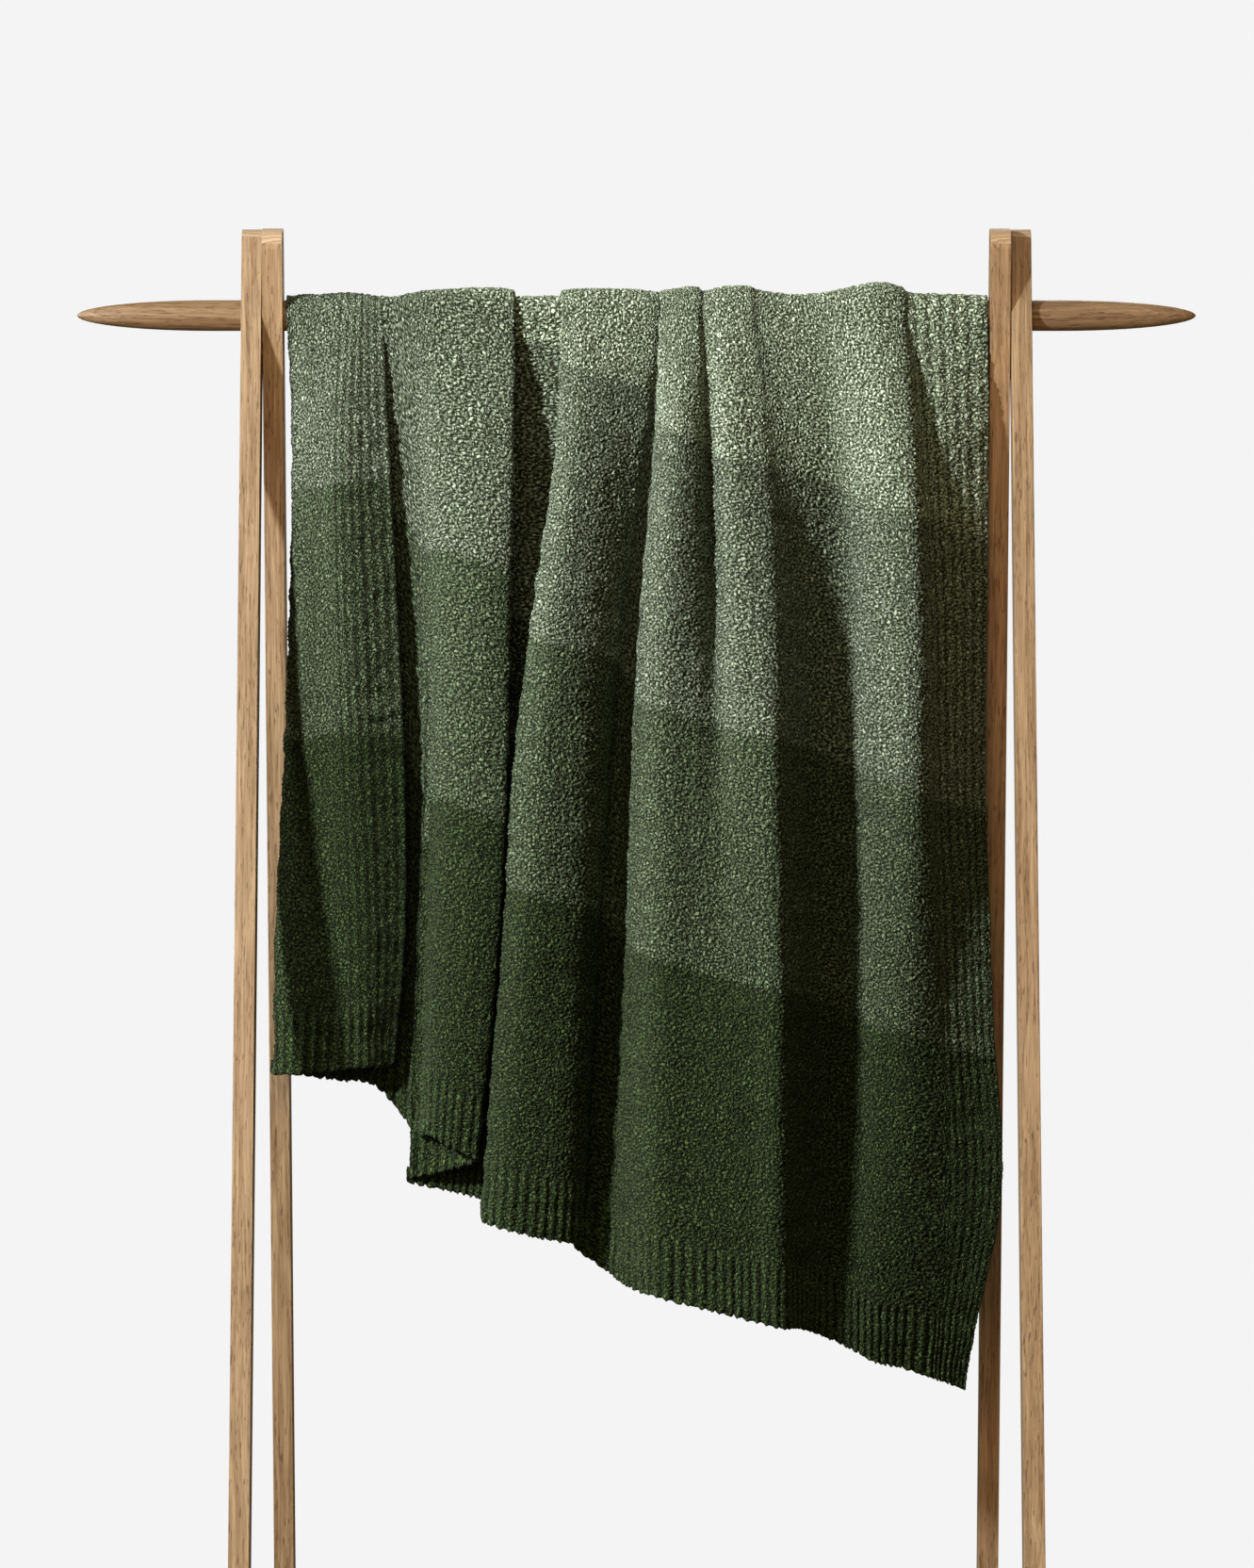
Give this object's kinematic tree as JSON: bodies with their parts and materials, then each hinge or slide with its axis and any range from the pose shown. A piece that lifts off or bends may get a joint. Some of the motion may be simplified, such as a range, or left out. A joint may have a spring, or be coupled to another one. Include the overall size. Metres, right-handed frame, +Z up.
{
  "type": "throw on a rack",
  "caption": "Pleated knitted throw with stepped bands of green, hung over the round tapered bar of a folding oak rack with crossed legs.",
  "frame": {"origin": "on the floor under the middle of the bar, with the rack open", "axes": "+X along the bar to the right as seen from the front, +Y to the rear, +Z up"},
  "size_m": [1.235, 0.689, 1.6007],
  "materials": {
    "oak": "oiled straight-grained oak with open pores, satin",
    "dowel_oak": "plain oak dowel, end grain showing",
    "washer_fibre": "thin pressed fibre washer",
    "glide_plastic": "dark moulded floor glide",
    "green_knit": "nubbly chenille knit in stepped bands from dark green at the low hem to light sage, with ribbed borders and hems"
  },
  "bodies": {
    "front_frame": {"hanging_bar": "oak", "front_leg_left": "oak", "front_leg_right": "oak", "bar_pin_left": "dowel_oak", "bar_pin_right": "dowel_oak", "pivot_washer_left": "washer_fibre", "pivot_washer_right": "washer_fibre", "stop_peg_left": "dowel_oak", "stop_peg_right": "dowel_oak", "front_rung": "oak", "front_rung_pin_left": "dowel_oak", "front_rung_pin_right": "dowel_oak", "front_glide_left": "glide_plastic", "front_glide_right": "glide_plastic", "knit_throw": "green_knit"},
    "rear_frame": {"rear_leg_left": "oak", "rear_leg_right": "oak", "rear_rung": "oak", "rear_rung_pin_left": "dowel_oak", "rear_rung_pin_right": "dowel_oak", "rear_glide_left": "glide_plastic", "rear_glide_right": "glide_plastic"}
  },
  "joints": [
    {"name": "rear_frame_fold", "type": "hinge", "parent": "front_frame", "child": "rear_frame", "pos_m": [0, 0, 1.505], "axis": [-1, 0, 0], "range_deg": [0, 22.4]}
  ]
}
